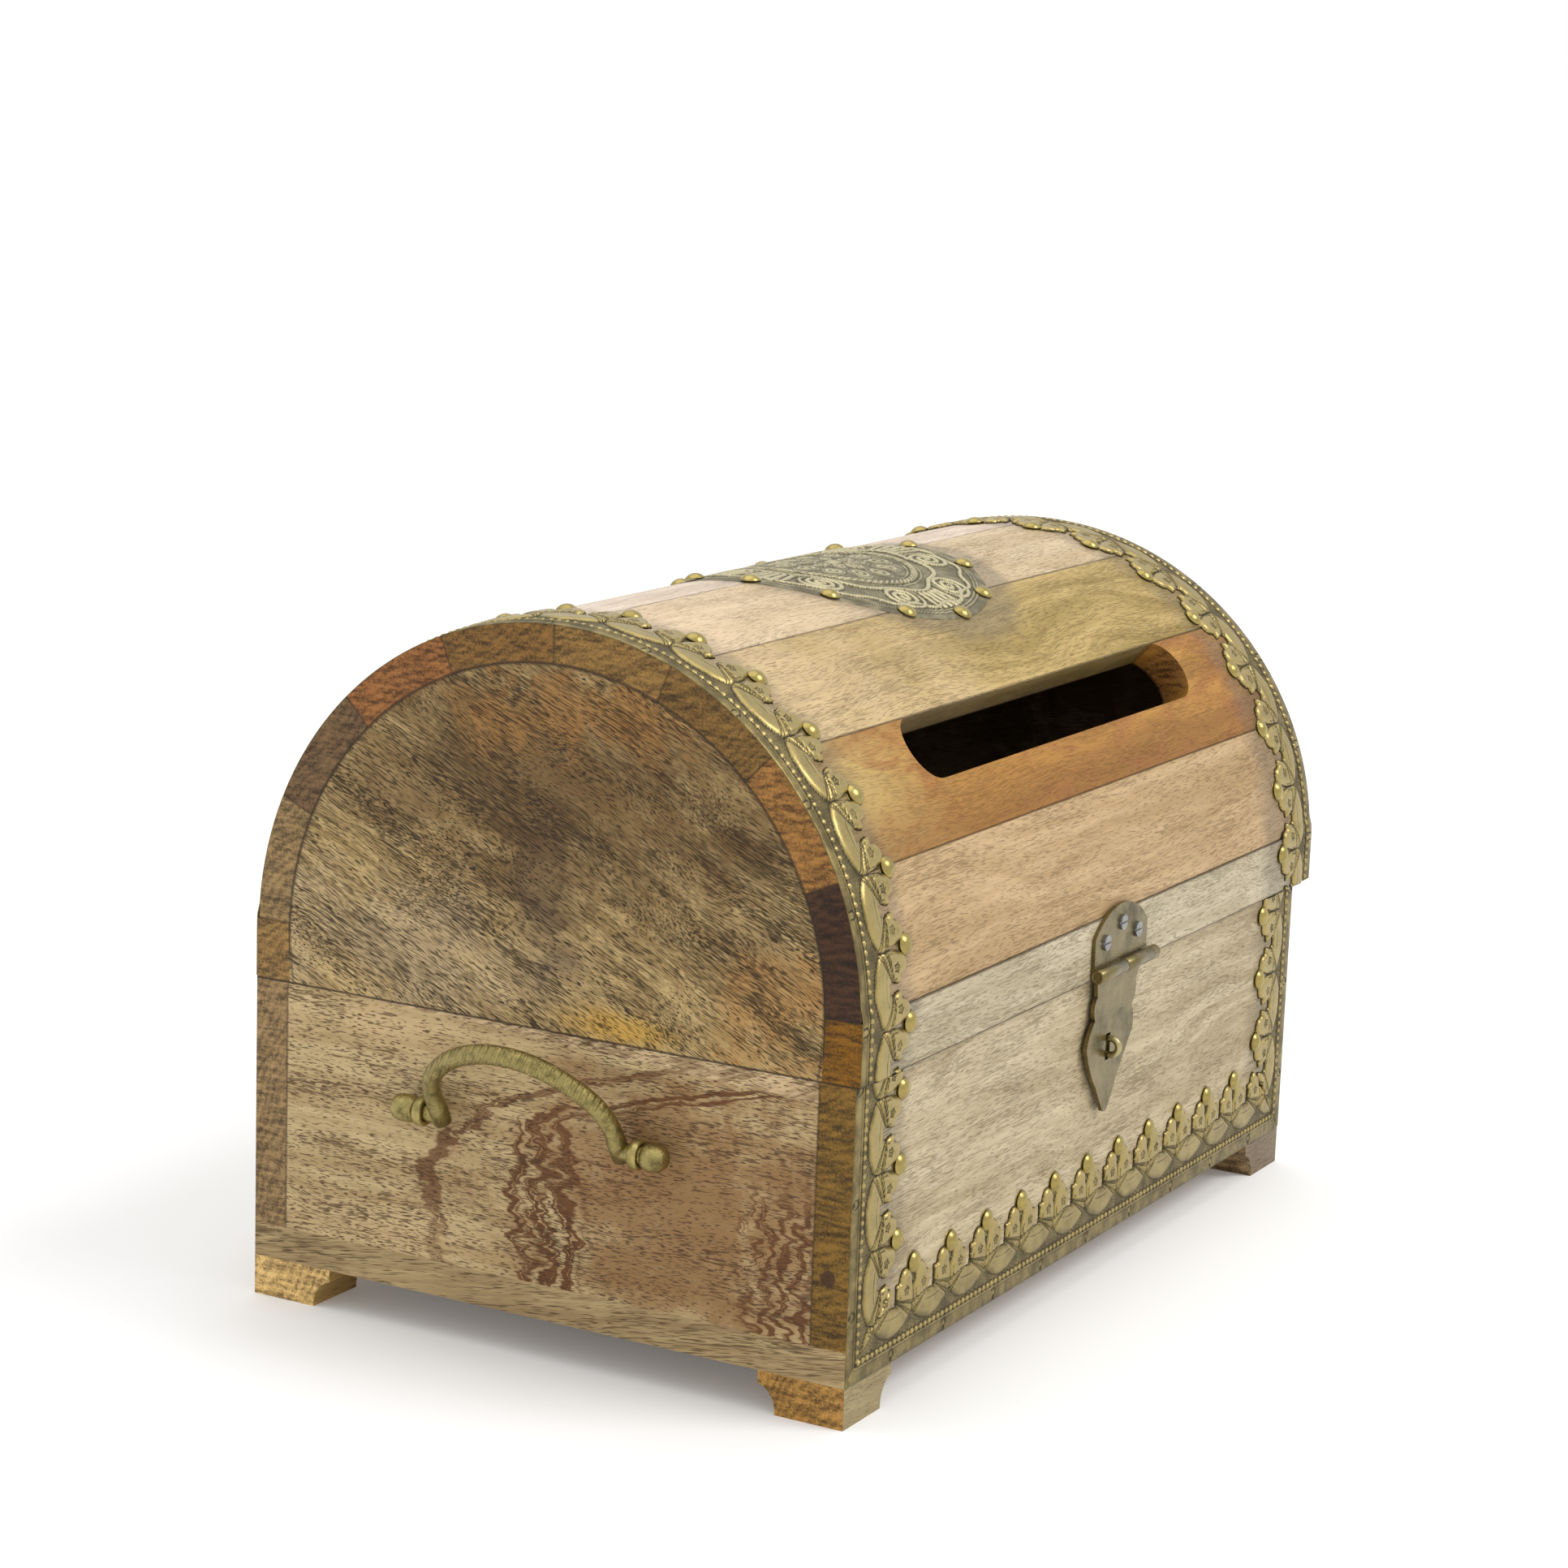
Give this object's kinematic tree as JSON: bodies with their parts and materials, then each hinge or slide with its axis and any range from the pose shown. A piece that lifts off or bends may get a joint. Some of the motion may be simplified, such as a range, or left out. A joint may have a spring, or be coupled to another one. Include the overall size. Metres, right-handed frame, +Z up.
{
  "type": "wedding card chest",
  "caption": "Small wooden chest with a domed staved lid, a card slot, embossed brass borders, drop handles, hinges and a hasp.",
  "frame": {"origin": "centre of the footprint, on the floor under the feet", "axes": "+X along the front to the right as seen from the front, +Y to the back, +Z up; the hasp is on the -Y side"},
  "size_m": [0.446, 0.2645, 0.2685],
  "materials": {
    "pale_mango": "waxed, short dark pores",
    "tan_mango": "waxed, short dark pores",
    "orange_mango": "waxed, figured",
    "beige_mango": "waxed, short dark pores",
    "pink_mango": "waxed, short dark pores",
    "brown_mango": "waxed, dark figure",
    "end_mango": "waxed, wavy red-brown figure",
    "yellow_mango": "waxed",
    "embossed_brass": "embossed, brown patina in the recesses",
    "medallion_brass": "embossed, olive patina",
    "bright_brass": "polished",
    "hasp_brass": "dull, fine scratches",
    "cast_brass": "rough cast, greenish",
    "slotted_steel": "turned head",
    "pin_steel": "dark",
    "hinge_brass": "aged"
  },
  "bodies": {
    "base": {"bottom_board": "yellow_mango", "front_board": "pale_mango", "back_board": "pale_mango", "left_end_board": "end_mango", "right_end_board": "end_mango", "front_left_foot": "yellow_mango", "front_right_foot": "yellow_mango", "back_left_foot": "yellow_mango", "back_right_foot": "yellow_mango", "left_base_strip": "embossed_brass", "right_base_strip": "embossed_brass", "bottom_base_strip": "embossed_brass", "base_strip_nails": "bright_brass", "hasp_staple": "bright_brass", "left_handle_eyes": "cast_brass", "right_handle_eyes": "cast_brass", "hinge_base_leaves": "hinge_brass", "hinge_base_screws": "slotted_steel"},
    "lid": {"front_rim_stave": "pale_mango", "back_rim_stave": "pale_mango", "stave_1": "tan_mango", "slot_stave": "orange_mango", "stave_3": "beige_mango", "stave_4": "pink_mango", "stave_5": "pink_mango", "stave_6": "beige_mango", "stave_7": "tan_mango", "stave_8": "beige_mango", "left_lid_end": "brown_mango", "right_lid_end": "brown_mango", "left_arch_strip": "embossed_brass", "right_arch_strip": "embossed_brass", "arch_strip_nails": "bright_brass", "medallion": "medallion_brass", "medallion_nails": "bright_brass", "hasp_plate": "hasp_brass", "hasp_screws": "slotted_steel", "hasp_pin": "pin_steel", "hinge_lid_leaves": "hinge_brass", "hinge_pins": "pin_steel", "hinge_lid_screws": "slotted_steel"},
    "hasp": {"hasp_strap": "hasp_brass"},
    "left_handle": {"left_bail": "cast_brass"},
    "right_handle": {"right_bail": "cast_brass"}
  },
  "joints": [
    {"name": "lid_hinge", "type": "hinge", "parent": "base", "child": "lid", "pos_m": [0, 0.1278, 0.1215], "axis": [-1, 0, 0], "range_deg": [0, 105]},
    {"name": "hasp_swing", "type": "hinge", "parent": "lid", "child": "hasp", "pos_m": [0.012, -0.12945, 0.1234], "axis": [-1, 0, 0], "range_deg": [0, 165]},
    {"name": "left_handle_swing", "type": "hinge", "parent": "base", "child": "left_handle", "pos_m": [-0.201, 0, 0.086], "axis": [0, -1, 0], "range_deg": [-35.5, 143]},
    {"name": "right_handle_swing", "type": "hinge", "parent": "base", "child": "right_handle", "pos_m": [0.201, 0, 0.086], "axis": [0, 1, 0], "range_deg": [-35.5, 143]}
  ]
}
